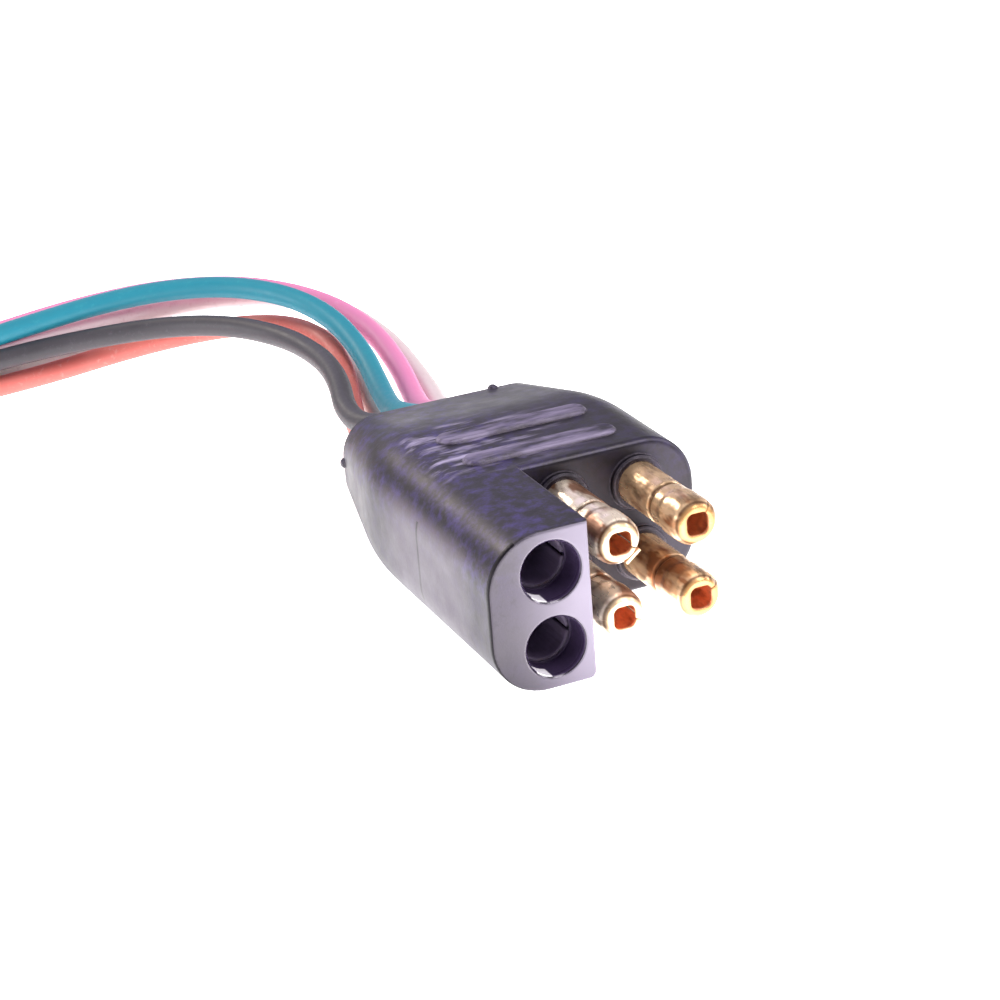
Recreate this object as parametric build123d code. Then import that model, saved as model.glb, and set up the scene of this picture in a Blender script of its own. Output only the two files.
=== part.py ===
"""Six-way moulded trailer wiring connector, one mating half with its leads.

+X is right, -Y is the mating direction and +Z is up. The origin is the centre of the
moulded body's footprint. All sizes are in millimetres. Each piece is written as a STEP
file of its own, named after the piece.
"""

import os
from math import ceil, cos, pi, radians, sin, sqrt, tan

from build123d import *

# ---- moulded body ----
BODY_LENGTH = 56.0
BODY_WIDTH = 36.4
BODY_HEIGHT = 20.0
SIDE_RADIUS = 6.8          # the long rounded edges
STEP_DEPTH = 19.0          # how far the socket block stands in front of the step face
TAPER_LENGTH = 17.6
TAPER_INSET = 3.5          # how far each side of the rear face lies inside the straight middle
REAR_CORNER_RADIUS = 5.0
REAR_RIM_CHAMFER = 0.7
TAPER_BEND_RADIUS = 40.0   # along the body, where the straight middle turns into the taper
FRONT_EDGE_RADIUS = 0.35
STEP_EDGE_RADIUS = 0.8
BLOCK_HEEL_RADIUS = 0.9    # lower inner edge of the socket block

# ---- grip ribs on top ----
RIB_LENGTH = 20.4
RIB_WIDTH = 3.4
RIB_RISE = 0.5
RIB_CHAMFER = 0.3
RIB_SPACING = 8.4
RIB_SETBACK = 5.3          # front rib's centre behind the step face

# ---- small moulding nubs at the rear ----
NUB_DIAMETER = 1.4
NUB_RISE = 0.45
NUB_CHAMFER = 0.3
NUB_INSET = 1.25           # from the rear face to a nub's centre
NUB_OFFSET = 6.9           # upper nub's distance from the middle column

# ---- contact layout ----
COLUMN_PITCH = 10.2
ROW_PITCH = 9.5
MOUTH_DIAMETER = 7.4
MOUTH_DEPTH = 4.0
MOUTH_CHAMFER = 0.3
MOUTH_WALL = 1.25          # between a mouth and the block's inner side
COLLAR_CLEARANCE = 0.3     # a collar's diameter is this much under a mouth's
COLLAR_RISE = 0.9
COLLAR_CHAMFER = 0.2

# ---- rolled brass contacts ----
SHEET = 0.4
BARREL_DIAMETER = 5.6
HEAD_DIAMETER = 6.0
HEAD_START = 11.9          # distances in front of the step face
HEAD_LAND = 2.4
BULLET_REACH = 16.2
SHOULDER_LENGTH = 1.0
RIM_DIAMETER = 5.0
RIM_OPENING = 2.9          # across the flats of its rounded square
RIM_OPENING_CORNER = 0.9
RIM_LIP = 0.35
GROOVE_DIAMETER = 5.1
GROOVE_WIDTH = 1.0
GROOVE_DISTANCE = 8.9
SLEEVE_BORE = 6.1
SLEEVE_LENGTH = 15.0
SLEEVE_SLIT = 0.5
SEAM_GAP = 0.15
FLARE_WIDTH = 2.3          # loose edge of the sheet at a rim, across the bullet
FLARE_LENGTH = 1.3         # the same edge, along the bullet
FLANGE_DIAMETER = 7.2
FLANGE_WIDTH = 1.0
FLANGE_DISTANCE = 5.0      # behind the step face
CRIMP_LENGTH = 5.0
INSULATION_GRIP_LENGTH = 4.0
GRIP_GAP = 0.03            # between a moulded-in piece and the body

# ---- leads ----
LEAD_DIAMETER = 3.2
CONDUCTOR_DIAMETER = 2.0
EXIT_COLUMN_PITCH = 5.4
EXIT_ROW_PITCH = 5.2
LEAD_START_DEPTH = 3.0     # the free lead starts this far inside the rear face
LEAD_END_STRAIGHT = 5.0    # straight stretch at the rear end of a moulded-in lead
GRIP_TO_BEND = 1.6         # from the insulation grip to the lead's first corner

# ---- stored length of the leads ----
COIL_X = -80.0
COIL_Y = 87.2
COIL_START_RADIUS = 24.0
COIL_TURNS = (1 + 1 / 6, 1 + 7 / 12)    # of the outer and the inner track
COIL_ARCS_PER_TURN = 12
BUNDLE_COLUMNS = 2
BUNDLE_LAYERS = 3
TIE_THICKNESS = 1.0
TIE_WIDTH = 2.5
TIE_SIDE_CLEARANCE = 0.2
TIE_ANGLE = 30.0           # round the coil from where the leads enter it
TIE_HEAD_LENGTH = 4.6
TIE_HEAD_HEIGHT = 3.4
BARE_LENGTH = 7.0

# ---- places worked out from the sizes above ----
FRONT_Y = -BODY_LENGTH / 2
REAR_Y = BODY_LENGTH / 2
STEP_Y = FRONT_Y + STEP_DEPTH
TAPER_Y = REAR_Y - TAPER_LENGTH
MIDDLE_Z = BODY_HEIGHT / 2
REAR_WIDTH = BODY_WIDTH - 2 * TAPER_INSET
REAR_HEIGHT = BODY_HEIGHT - 2 * TAPER_INSET
LEAD_Y = REAR_Y - LEAD_START_DEPTH
BLOCK_SIDE_X = -COLUMN_PITCH + MOUTH_DIAMETER / 2 + MOUTH_WALL
BULLET_BORE = BARREL_DIAMETER - 2 * SHEET
COIL_ENTRY_Y = COIL_Y + COIL_START_RADIUS
SPIRAL_STEP = BUNDLE_COLUMNS * LEAD_DIAMETER

COLUMN_X = {"left": -COLUMN_PITCH, "middle": 0.0, "right": COLUMN_PITCH}
EXIT_X = {"left": -EXIT_COLUMN_PITCH, "middle": 0.0, "right": EXIT_COLUMN_PITCH}
ROW_Z = {"upper": MIDDLE_Z + ROW_PITCH / 2, "lower": MIDDLE_Z - ROW_PITCH / 2}
EXIT_Z = {"upper": MIDDLE_Z + EXIT_ROW_PITCH / 2, "lower": MIDDLE_Z - EXIT_ROW_PITCH / 2}
POSITIONS = [(row, column) for column in COLUMN_X for row in ROW_Z]
SOCKETS = [place for place in POSITIONS if place[1] == "left"]
BULLETS = [place for place in POSITIONS if place[1] != "left"]

# Where each bullet's seam lies, in degrees clockwise from the top, seen from the front.
SEAM_ROLL = {
    ("upper", "middle"): 118,
    ("lower", "middle"): 110,
    ("upper", "right"): 40,
    ("lower", "right"): 60,
}

# Where the sheet's loose edge lies, for the bullet that has one, in the same degrees.
FLARE_ROLL = {("upper", "middle"): 142}

# Each lead's place in the coil: (track from the outside, layer from the floor).
COIL_PLACE = {
    ("lower", "middle"): (0, 0),
    ("lower", "right"): (0, 1),
    ("upper", "right"): (0, 2),
    ("lower", "left"): (1, 0),
    ("upper", "left"): (1, 1),
    ("upper", "middle"): (1, 2),
}

# Route of each lead between its exit and the coil, chosen by hand.
LEAD_ROUTE = {
    ("upper", "left"): [
        (-5.4, 32, 12.6), (-8, 39, 10.9), (-7.7, 45.5, 11.3), (-5.9, 51.5, 12.1), (-4.7, 58, 12.6),
        (-4.2, 66, 12.6), (-5.4, 76, 12.6), (-10.5, 86, 12.7), (-18.5, 95, 11.6), (-30, 102, 9.7),
        (-41, 105.8, 8.1),
    ],
    ("lower", "left"): [
        (-5.4, 32, 7.4), (-6, 39, 6.6), (-5.2, 47, 6), (-3, 56, 6.7), (0.2, 66, 8.6),
        (1.5, 77, 10.3), (-1, 87, 10.6), (-8, 96, 9.2), (-20, 103, 6.7), (-37, 106.8, 3.5),
    ],
    ("upper", "middle"): [
        (0, 32, 12.6), (-0.9, 39, 10.8), (-0.4, 47, 9), (1.4, 56, 9.4), (3, 66, 11.4),
        (2.5, 77, 14), (-1.5, 87, 15.7), (-9.5, 96, 16.2), (-22, 102.8, 15), (-39, 107, 11.8),
    ],
    ("lower", "middle"): [
        (0, 32, 7.4), (-0.7, 39, 6.6), (-0.5, 47, 5.5), (0.6, 56, 5.1), (2.6, 66, 6),
        (4.2, 77, 7.6), (2.9, 88, 8.3), (-3, 98, 7.8), (-14, 106, 6.3), (-29, 110, 4.4),
        (-43, 111.2, 3),
    ],
    ("upper", "right"): [
        (5.4, 32, 12.6), (4.4, 39, 10.3), (4.7, 47, 7.4), (6.6, 56, 6.3), (9, 67, 7.4),
        (9.5, 79, 9.9), (5.8, 91, 12.2), (-3, 101.5, 13.5), (-15, 108, 13.4), (-29, 111, 12),
        (-43, 111.8, 10),
    ],
    ("lower", "right"): [
        (5.4, 32, 7.4), (5.9, 39, 6.6), (8, 47, 5.3), (10.2, 56, 4.7), (11.9, 67, 5.2),
        (12.4, 79, 7.2), (9.5, 92, 9.6), (2, 102.5, 10.6), (-10, 109, 10.2), (-26, 111.8, 8.4),
        (-42, 111.8, 6.6),
    ],
}
COIL_APPROACH_X = -57.0    # from here the leads run straight to the coil


def cross_plane(y, x=0.0, z=MIDDLE_Z):
    """A plane across the body, seen from the front: local x is +X, local y is +Z."""
    return Plane(origin=(x, y, z), x_dir=(1, 0, 0), z_dir=(0, -1, 0))


def contact_plane(row, column):
    """A contact's own plane on the step face: local x runs forwards along its axis."""
    origin = (COLUMN_X[column], STEP_Y, ROW_Z[row])
    return Plane(origin=origin, x_dir=(0, -1, 0), z_dir=(-1, 0, 0))


def post(y_rear, y_front, radius, row, column):
    """A round post on a contact's axis, between two places along the body."""
    plane = cross_plane(y_rear, COLUMN_X[column], ROW_Z[row])
    return extrude(plane * Circle(radius), amount=y_rear - y_front)


# ---------------------------------------------------------------- contacts


def rear_stations():
    """Outline of the hidden rear of every contact: (distance, outer radius, inner radius)."""
    barrel = BARREL_DIAMETER / 2
    bore = BULLET_BORE / 2
    flange = FLANGE_DIAMETER / 2
    crimp_bore = CONDUCTOR_DIAMETER / 2 + GRIP_GAP
    grip_bore = LEAD_DIAMETER / 2 + GRIP_GAP
    flange_front = -FLANGE_DISTANCE
    flange_rear = flange_front - FLANGE_WIDTH
    neck_start = flange_rear - SHOULDER_LENGTH
    crimp_start = neck_start - SHOULDER_LENGTH
    crimp_end = crimp_start - CRIMP_LENGTH
    grip_start = crimp_end - SHOULDER_LENGTH
    grip_end = grip_start - INSULATION_GRIP_LENGTH
    return [
        (flange_front, barrel, bore),
        (flange_front, flange, bore),
        (flange_rear, flange, bore),
        (flange_rear, barrel, bore),
        (neck_start, barrel, bore),
        (crimp_start, crimp_bore + SHEET, crimp_bore),
        (crimp_end, crimp_bore + SHEET, crimp_bore),
        (grip_start, grip_bore + SHEET, grip_bore),
        (grip_end, grip_bore + SHEET, grip_bore),
    ]


def bullet_stations():
    """Outline of a bullet, from its rim back to its insulation grip."""
    barrel = BARREL_DIAMETER / 2
    bore = BULLET_BORE / 2
    head = HEAD_DIAMETER / 2
    groove = GROOVE_DIAMETER / 2
    groove_front = GROOVE_DISTANCE + GROOVE_WIDTH / 2
    groove_rear = GROOVE_DISTANCE - GROOVE_WIDTH / 2
    groove_slope = GROOVE_WIDTH / 4
    nose = HEAD_START + HEAD_LAND
    mid_nose = (nose + BULLET_REACH) / 2
    return [
        (BULLET_REACH, RIM_DIAMETER / 2 - RIM_LIP, RIM_OPENING / 2),
        (BULLET_REACH - RIM_LIP, RIM_DIAMETER / 2, RIM_OPENING / 2),
        (mid_nose, head - SHEET / 4, bore),
        (nose, head, head - SHEET),
        (HEAD_START, head, head - SHEET),
        (HEAD_START - SHOULDER_LENGTH, barrel, bore),
        (groove_front, barrel, bore),
        (groove_front - groove_slope, groove, groove - SHEET),
        (groove_rear + groove_slope, groove, groove - SHEET),
        (groove_rear, barrel, bore),
    ] + rear_stations()


def socket_stations():
    """Outline of a socket, from the sleeve's mouth back to its insulation grip."""
    bore = SLEEVE_BORE / 2
    sleeve_front = STEP_DEPTH - MOUTH_DEPTH
    sleeve_rear = sleeve_front - SLEEVE_LENGTH
    return [
        (sleeve_front, bore + SHEET, bore),
        (sleeve_rear, bore + SHEET, bore),
        (sleeve_rear - SHOULDER_LENGTH, BARREL_DIAMETER / 2, BULLET_BORE / 2),
    ] + rear_stations()


def turned(points, row, column):
    """The solid of revolution of a closed outline of (distance, radius) points."""
    outline = make_face(Polyline(*points, close=True))
    return contact_plane(row, column) * revolve(outline, Axis.X)


def rolled_sheet(stations, row, column):
    """A contact's tube, between its outer outline and its bore."""
    outer = [(distance, outside) for distance, outside, _ in stations]
    bore = list(dict.fromkeys((distance, inside) for distance, _, inside in stations))
    return turned(outer + bore[::-1], row, column)


def seam(width, rear, front, roll, row, column):
    """A thin slot along one side of a rolled contact, turned about its axis."""
    length = front - rear
    slot = Pos(rear + length / 2, HEAD_DIAMETER / 2, 0) * Box(length, HEAD_DIAMETER, width)
    return contact_plane(row, column) * (Rot(-roll, 0, 0) * slot)


def rim_opening(row, column):
    """The rounded square hole through a bullet's folded rim."""
    plane = cross_plane(STEP_Y - BULLET_REACH + SHOULDER_LENGTH, COLUMN_X[column], ROW_Z[row])
    square = RectangleRounded(RIM_OPENING, RIM_OPENING, RIM_OPENING_CORNER)
    return extrude(plane * square, amount=2 * SHOULDER_LENGTH)


def flared_edge(row, column):
    """The loose outer edge of a bullet's sheet: straight, its corners within the head's size."""
    reach = sqrt((HEAD_DIAMETER / 2 - GRIP_GAP) ** 2 - (FLARE_WIDTH / 2) ** 2)
    centre = (BULLET_REACH - FLARE_LENGTH / 2, reach - SHEET / 2, 0)
    flap = Pos(*centre) * Box(FLARE_LENGTH, SHEET, FLARE_WIDTH)
    return contact_plane(row, column) * (Rot(-FLARE_ROLL[(row, column)], 0, 0) * flap)


def bullet_terminal(row, column):
    tube = rolled_sheet(bullet_stations(), row, column)
    roll = SEAM_ROLL[(row, column)]
    tube -= seam(SEAM_GAP, -FLANGE_DISTANCE, BULLET_REACH + 1, roll, row, column)
    tube -= rim_opening(row, column)
    if (row, column) in FLARE_ROLL:
        tube += flared_edge(row, column)
    return tube


def socket_terminal(row, column):
    sleeve_front = STEP_DEPTH - MOUTH_DEPTH
    sleeve_rear = sleeve_front - SLEEVE_LENGTH
    tube = rolled_sheet(socket_stations(), row, column)
    return tube - seam(SLEEVE_SLIT, sleeve_rear, sleeve_front + 1, 90, row, column)


def contact_cavity(stations, row, column):
    """Space that the body leaves round a contact, from its front end to its rear end."""
    wall = [(distance, outside + GRIP_GAP) for distance, outside, _ in stations]
    axis_front = (stations[0][0], 0)
    axis_rear = (stations[-1][0], 0)
    return turned([axis_front] + wall + [axis_rear], row, column)


# ---------------------------------------------------------------- leads


def tube_along(points, radii, diameter):
    """A round tube along straight runs joined by tangent arcs."""
    path = FilletPolyline(*points, radius=radii)
    section = Plane(origin=path @ 0, z_dir=path % 0) * Circle(diameter / 2)
    return sweep(section, path=path), path


def corner_radii(points):
    """0.45 of the shorter run beside each corner, over the tangent of half the turn."""
    radii = []
    places = [Vector(*point) for point in points]
    for before, corner, after in zip(places, places[1:], places[2:]):
        run_in = corner - before
        run_out = after - corner
        half_turn = radians(run_in.get_angle(run_out)) / 2
        radii.append(0.45 * min(run_in.length, run_out.length) / tan(half_turn))
    return radii


def grip_rear_y():
    """Where a contact's insulation grip ends, behind the step face."""
    return STEP_Y - rear_stations()[-1][0]


def conductor_span():
    """Where the bare conductor lies in a contact: front end and insulation's end."""
    stations = rear_stations()
    crimp_front = STEP_Y - stations[5][0]
    grip_front = STEP_Y - stations[7][0]
    return crimp_front, grip_front


def lead_end_points(row, column):
    _, insulation_y = conductor_span()
    x, z = COLUMN_X[column], ROW_Z[row]
    exit_x, exit_z = EXIT_X[column], EXIT_Z[row]
    straight_end = grip_rear_y() + GRIP_TO_BEND
    return [
        (x, insulation_y, z),
        (x, straight_end, z),
        (exit_x, LEAD_Y - LEAD_END_STRAIGHT, exit_z),
        (exit_x, LEAD_Y, exit_z),
    ]


def lead_end(row, column, gap=0.0):
    """The moulded-in end of a lead; with a gap, the channel that holds it."""
    path = Polyline(*lead_end_points(row, column))
    section = Plane(origin=path @ 0, z_dir=path % 0) * Circle(LEAD_DIAMETER / 2 + gap)
    return sweep(section, path=path, transition=Transition.RIGHT)


def conductor(row, column):
    front, rear = conductor_span()
    return post(rear, front, CONDUCTOR_DIAMETER / 2, row, column)


def lead_points(row, column):
    """The whole route of a free lead, from inside the rear face to the coil."""
    track, layer = COIL_PLACE[(row, column)]
    y = COIL_ENTRY_Y - track * LEAD_DIAMETER
    z = TIE_THICKNESS + (layer + 0.5) * LEAD_DIAMETER
    start = (EXIT_X[column], LEAD_Y, EXIT_Z[row])
    return [start] + LEAD_ROUTE[(row, column)] + [(COIL_APPROACH_X, y, z), (COIL_X, y, z)]


def free_lead(row, column):
    points = lead_points(row, column)
    radii = corner_radii(points)
    tube, path = tube_along(points, radii, LEAD_DIAMETER)
    share = tube.volume / (pi * LEAD_DIAMETER**2 / 4 * path.length)
    print(f"lead {row} {column}: {path.length:.1f} long, volume share {share:.4f}, radii",
          [round(radius, 1) for radius in radii])
    return tube


# ---------------------------------------------------------------- coil


def spiral_point(offset, turn):
    """A point of the coil, offset outwards from the outer track's centre line."""
    radius = COIL_START_RADIUS + offset - SPIRAL_STEP * turn
    angle = pi / 2 + 2 * pi * turn
    return (COIL_X + radius * cos(angle), COIL_Y + radius * sin(angle))


def spiral_edge(offset, first_turn, last_turn):
    """A spiral line as short arcs, one after the other."""
    count = ceil(COIL_ARCS_PER_TURN * (last_turn - first_turn))
    step = (last_turn - first_turn) / count
    turns = [first_turn + step * i for i in range(count)]
    return [
        ThreePointArc(*[spiral_point(offset, turn + step * share) for share in (0, 0.5, 1)])
        for turn in turns
    ]


def spiral_ring(offset, first_turn):
    """One turn of a spiral edge, closed by a radial step."""
    last_turn = first_turn + 1
    step = Line(spiral_point(offset, last_turn), spiral_point(offset, first_turn))
    return make_face(spiral_edge(offset, first_turn, last_turn) + [step])


def spiral_band(outer_offset, inner_offset, first_turn, last_turn):
    """A strip of the spiral between two of its edges."""
    edges = spiral_edge(outer_offset, first_turn, last_turn)
    edges += spiral_edge(inner_offset, first_turn, last_turn)
    edges += [
        Line(spiral_point(outer_offset, turn), spiral_point(inner_offset, turn))
        for turn in (first_turn, last_turn)
    ]
    return make_face(edges)


def lead_coil():
    """Outer shape of the six coiled leads: two tracks wide, three layers high."""
    outer_turns, inner_turns = COIL_TURNS
    outer = spiral_ring(LEAD_DIAMETER / 2 - GRIP_GAP, 0)
    inner_offset = LEAD_DIAMETER / 2 - SPIRAL_STEP
    inner = spiral_ring(inner_offset, inner_turns - 1)
    ended = spiral_band(inner_offset, inner_offset - LEAD_DIAMETER, outer_turns - 1, inner_turns - 1)
    ring = Pos(0, 0, TIE_THICKNESS) * (outer - inner - ended)
    return extrude(ring, amount=BUNDLE_LAYERS * LEAD_DIAMETER)


def coil_tie():
    """A cable tie round the coil's section, its head on the outer side."""
    turn = TIE_ANGLE / 360
    outer_radius = COIL_START_RADIUS + LEAD_DIAMETER / 2 - SPIRAL_STEP * turn
    inner_radius = outer_radius - SPIRAL_STEP * 2
    width = outer_radius - inner_radius + 2 * TIE_SIDE_CLEARANCE
    height = BUNDLE_LAYERS * LEAD_DIAMETER
    centre_radius = (outer_radius + inner_radius) / 2
    centre_z = TIE_THICKNESS + height / 2
    band = RectangleRounded(width + 2 * TIE_THICKNESS, height + 2 * TIE_THICKNESS, TIE_THICKNESS)
    strap = extrude(band - Rectangle(width, height), amount=TIE_WIDTH / 2, both=True)
    head_x = width / 2 + TIE_HEAD_HEIGHT / 2
    head = Pos(head_x, height / 4, 0) * Box(TIE_HEAD_HEIGHT, TIE_HEAD_LENGTH, TIE_HEAD_LENGTH)
    head = chamfer(head.edges(), TIE_THICKNESS / 4)
    angle = 90 + TIE_ANGLE
    direction = (cos(radians(angle)), sin(radians(angle)), 0)
    centre = (COIL_X + centre_radius * direction[0], COIL_Y + centre_radius * direction[1], centre_z)
    section_plane = Plane(origin=centre, x_dir=direction, z_dir=(direction[1], -direction[0], 0))
    return section_plane * (strap + head)


def bare_end(row, column):
    """The stripped tip of a lead, carrying on round the coil from its inner end."""
    track, layer = COIL_PLACE[(row, column)]
    radius = COIL_START_RADIUS - track * LEAD_DIAMETER - SPIRAL_STEP * COIL_TURNS[track]
    z = TIE_THICKNESS + (layer + 0.5) * LEAD_DIAMETER
    angle = 90 + 360 * COIL_TURNS[track]
    outwards = (cos(radians(angle)), sin(radians(angle)), 0)
    place = (COIL_X + radius * outwards[0], COIL_Y + radius * outwards[1], z)
    section = Plane(origin=place, x_dir=outwards, z_dir=(outwards[1], -outwards[0], 0))
    disc = section * Circle(CONDUCTOR_DIAMETER / 2)
    centre_line = Axis((COIL_X, COIL_Y, z), (0, 0, 1))
    return revolve(disc, centre_line, revolution_arc=degrees_of(BARE_LENGTH / radius))


def degrees_of(angle):
    return angle * 180 / pi


# ---------------------------------------------------------------- body


def rear_section(y, inset):
    """The tapered rear's section at one place along it, less an inset all round."""
    share = (REAR_Y - y) / TAPER_LENGTH
    width = REAR_WIDTH + (BODY_WIDTH - REAR_WIDTH) * share - 2 * inset
    height = REAR_HEIGHT + (BODY_HEIGHT - REAR_HEIGHT) * share - 2 * inset
    corner = REAR_CORNER_RADIUS + (SIDE_RADIUS - REAR_CORNER_RADIUS) * share - inset
    return RectangleRounded(width, height, corner)


def main_body():
    """Straight middle of the body, with the tapered rear."""
    section = RectangleRounded(BODY_WIDTH, BODY_HEIGHT, SIDE_RADIUS)
    middle = extrude(cross_plane(TAPER_Y) * section, amount=TAPER_Y - STEP_Y)
    middle = fillet(middle.faces().sort_by(Axis.Y)[0].edges(), STEP_EDGE_RADIUS)
    rim_y = REAR_Y - REAR_RIM_CHAMFER
    rear_sections = [
        cross_plane(REAR_Y) * rear_section(REAR_Y, REAR_RIM_CHAMFER),
        cross_plane(rim_y) * rear_section(rim_y, 0),
        cross_plane(TAPER_Y) * section,
    ]
    body = middle + loft(rear_sections, ruled=True)
    crease = body.edges().filter_by_position(Axis.Y, TAPER_Y - 0.01, TAPER_Y + 0.01)
    return fillet(crease, TAPER_BEND_RADIUS)


def socket_block():
    """The block in front of the step face, which holds the two sockets."""
    section = RectangleRounded(BODY_WIDTH, BODY_HEIGHT, SIDE_RADIUS)
    side = BLOCK_SIDE_X + BODY_WIDTH / 2
    keep = Pos(-BODY_WIDTH / 2 + side / 2, 0) * Rectangle(side, BODY_HEIGHT)
    overlap = 2 * STEP_EDGE_RADIUS
    length = STEP_DEPTH + overlap
    block = extrude(cross_plane(STEP_Y + overlap) * (section & keep), amount=length)
    heel = block.edges().filter_by(Axis.Y).group_by(Axis.X)[-1].sort_by(Axis.Z)[0]
    block = fillet(heel, BLOCK_HEEL_RADIUS)
    return fillet(block.faces().sort_by(Axis.Y)[0].edges(), FRONT_EDGE_RADIUS)


def grip_rib(centre_y):
    """A low raised bar across the top, with round ends."""
    outline = Pos(0, centre_y, BODY_HEIGHT - RIB_RISE) * SlotOverall(RIB_LENGTH, RIB_WIDTH)
    bar = extrude(outline, amount=2 * RIB_RISE)
    return chamfer(bar.faces().sort_by(Axis.Z)[-1].edges(), RIB_CHAMFER)


def nub(on_top):
    """A small round moulding nub near the rear rim, on top or on the left side."""
    share = NUB_INSET / TAPER_LENGTH
    y = REAR_Y - NUB_INSET
    if on_top:
        surface = (REAR_HEIGHT + (BODY_HEIGHT - REAR_HEIGHT) * share) / 2
        place = Plane(origin=(NUB_OFFSET, y, MIDDLE_Z + surface - NUB_DIAMETER), z_dir=(0, 0, 1))
    else:
        surface = (REAR_WIDTH + (BODY_WIDTH - REAR_WIDTH) * share) / 2
        place = Plane(origin=(-surface + NUB_DIAMETER, y, MIDDLE_Z + 1.0), z_dir=(-1, 0, 0))
    peg = extrude(Circle(NUB_DIAMETER / 2), amount=NUB_DIAMETER + NUB_RISE)
    return place * chamfer(peg.faces().sort_by(Axis.Z)[-1].edges(), NUB_CHAMFER)


def collar(row, column):
    """A low ring on the step face, which enters the other half's mouth."""
    radius = (MOUTH_DIAMETER - COLLAR_CLEARANCE) / 2
    land = COLLAR_RISE - COLLAR_CHAMFER
    outline = [
        (-COLLAR_RISE, 0),
        (-COLLAR_RISE, radius),
        (land, radius),
        (COLLAR_RISE, radius - COLLAR_CHAMFER),
        (COLLAR_RISE, 0),
    ]
    return turned(outline, row, column)


def lead_outlet(row, column):
    """The straight last stretch of a lead's channel, out through the rear face."""
    plane = cross_plane(REAR_Y, EXIT_X[column], EXIT_Z[row])
    return extrude(plane * Circle(LEAD_DIAMETER / 2 + GRIP_GAP), amount=LEAD_START_DEPTH)


def mouth(row, column):
    """A socket's recessed entry, with a chamfered edge."""
    radius = MOUTH_DIAMETER / 2
    floor = STEP_DEPTH - MOUTH_DEPTH
    outline = [
        (floor, 0),
        (floor, radius),
        (STEP_DEPTH - MOUTH_CHAMFER, radius),
        (STEP_DEPTH, radius + MOUTH_CHAMFER),
        (STEP_DEPTH, 0),
    ]
    return turned(outline, row, column)


def housing():
    body = main_body() + socket_block()
    for step in range(2):
        body += grip_rib(STEP_Y + RIB_SETBACK + step * RIB_SPACING)
    body += nub(on_top=True)
    body += nub(on_top=False)
    for row, column in BULLETS:
        body += collar(row, column)
        body -= contact_cavity(collared_bullet(), row, column)
    for row, column in SOCKETS:
        body -= mouth(row, column)
        body -= contact_cavity(socket_stations(), row, column)
    for row, column in POSITIONS:
        body -= lead_outlet(row, column)
        body -= lead_end(row, column, GRIP_GAP)
    return body


def collared_bullet():
    """A bullet's outline from its collar back, for its cavity in the body."""
    barrel = BARREL_DIAMETER / 2
    return [(COLLAR_RISE, barrel, barrel)] + rear_stations()


# ---------------------------------------------------------------- pieces


def build():
    """Every piece of the connector, under its own name."""
    pieces = {"housing": housing()}
    for row, column in BULLETS:
        pieces[f"bullet_terminal_{row}_{column}"] = bullet_terminal(row, column)
    for row, column in SOCKETS:
        pieces[f"socket_terminal_{row}"] = socket_terminal(row, column)
    for row, column in POSITIONS:
        name = f"{row}_{column}"
        pieces[f"conductor_{name}"] = conductor(row, column)
        pieces[f"lead_end_{name}"] = lead_end(row, column)
        pieces[f"wire_{name}"] = free_lead(row, column)
        pieces[f"bare_end_{name}"] = bare_end(row, column)
    pieces["lead_coil"] = lead_coil()
    pieces["coil_tie"] = coil_tie()
    return pieces


os.makedirs("parts", exist_ok=True)
for piece_name, solid in build().items():
    export_step(solid, f"parts/{piece_name}.step")
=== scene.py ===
import math

import bpy
from mathutils import Matrix, Vector


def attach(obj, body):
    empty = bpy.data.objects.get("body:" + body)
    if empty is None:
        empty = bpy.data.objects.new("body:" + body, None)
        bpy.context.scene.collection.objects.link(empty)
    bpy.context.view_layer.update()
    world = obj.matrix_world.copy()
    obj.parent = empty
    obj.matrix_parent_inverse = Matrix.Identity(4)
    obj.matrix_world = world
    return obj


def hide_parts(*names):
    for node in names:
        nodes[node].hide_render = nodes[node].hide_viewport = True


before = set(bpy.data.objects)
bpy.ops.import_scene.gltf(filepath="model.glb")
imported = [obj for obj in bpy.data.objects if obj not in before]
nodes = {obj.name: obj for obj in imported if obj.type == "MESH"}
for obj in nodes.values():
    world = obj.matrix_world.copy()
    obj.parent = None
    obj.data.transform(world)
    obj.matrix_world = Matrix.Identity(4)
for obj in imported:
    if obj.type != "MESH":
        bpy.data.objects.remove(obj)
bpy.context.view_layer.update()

# A six-way trailer wiring connector: a black moulded body with two sleeved sockets in its
# nose and four bare brass bullets beside them, on six coloured leads that end in a tied coil.
# As the connector is seen from its nose, X runs to the right, Y back to the leads and Z up.

scene = bpy.context.scene
scene.view_settings.view_transform = "Standard"

MM = 0.001


# ---------------------------------------------------------------- camera

EYE = Vector((-121.378, -285.106, 139.373)) * MM
RIGHTWARD = Vector((0.91047, -0.40686, -0.07419))
UPWARD = Vector((0.21833, 0.32048, 0.92175))
BACKWARD = Vector((-0.35124, -0.85543, 0.38062))
LENS = 96.67
SENSOR = 36.0
NEAREST, FARTHEST = 0.01, 20

camera_data = bpy.data.cameras.new("studio_camera")
camera_data.lens = LENS
camera_data.sensor_width = SENSOR
camera_data.clip_start = NEAREST
camera_data.clip_end = FARTHEST
camera = bpy.data.objects.new("studio_camera", camera_data)
camera.matrix_world = Matrix.Translation(EYE) @ Matrix((RIGHTWARD, UPWARD, BACKWARD)).transposed().to_4x4()
scene.collection.objects.link(camera)
scene.camera = camera


# ---------------------------------------------------------------- nodes and colours

def hue(code):
    """An sRGB hex colour, turned to the linear values that a shader takes."""
    channels = [int(code[i:i + 2], 16) / 255 for i in (1, 3, 5)]
    return [c / 12.92 if c <= 0.04045 else ((c + 0.055) / 1.055) ** 2.4 for c in channels] + [1.0]


def per(millimetres):
    """A texture's Scale for features that are this far apart."""
    return 1 / (millimetres * MM)


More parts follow.
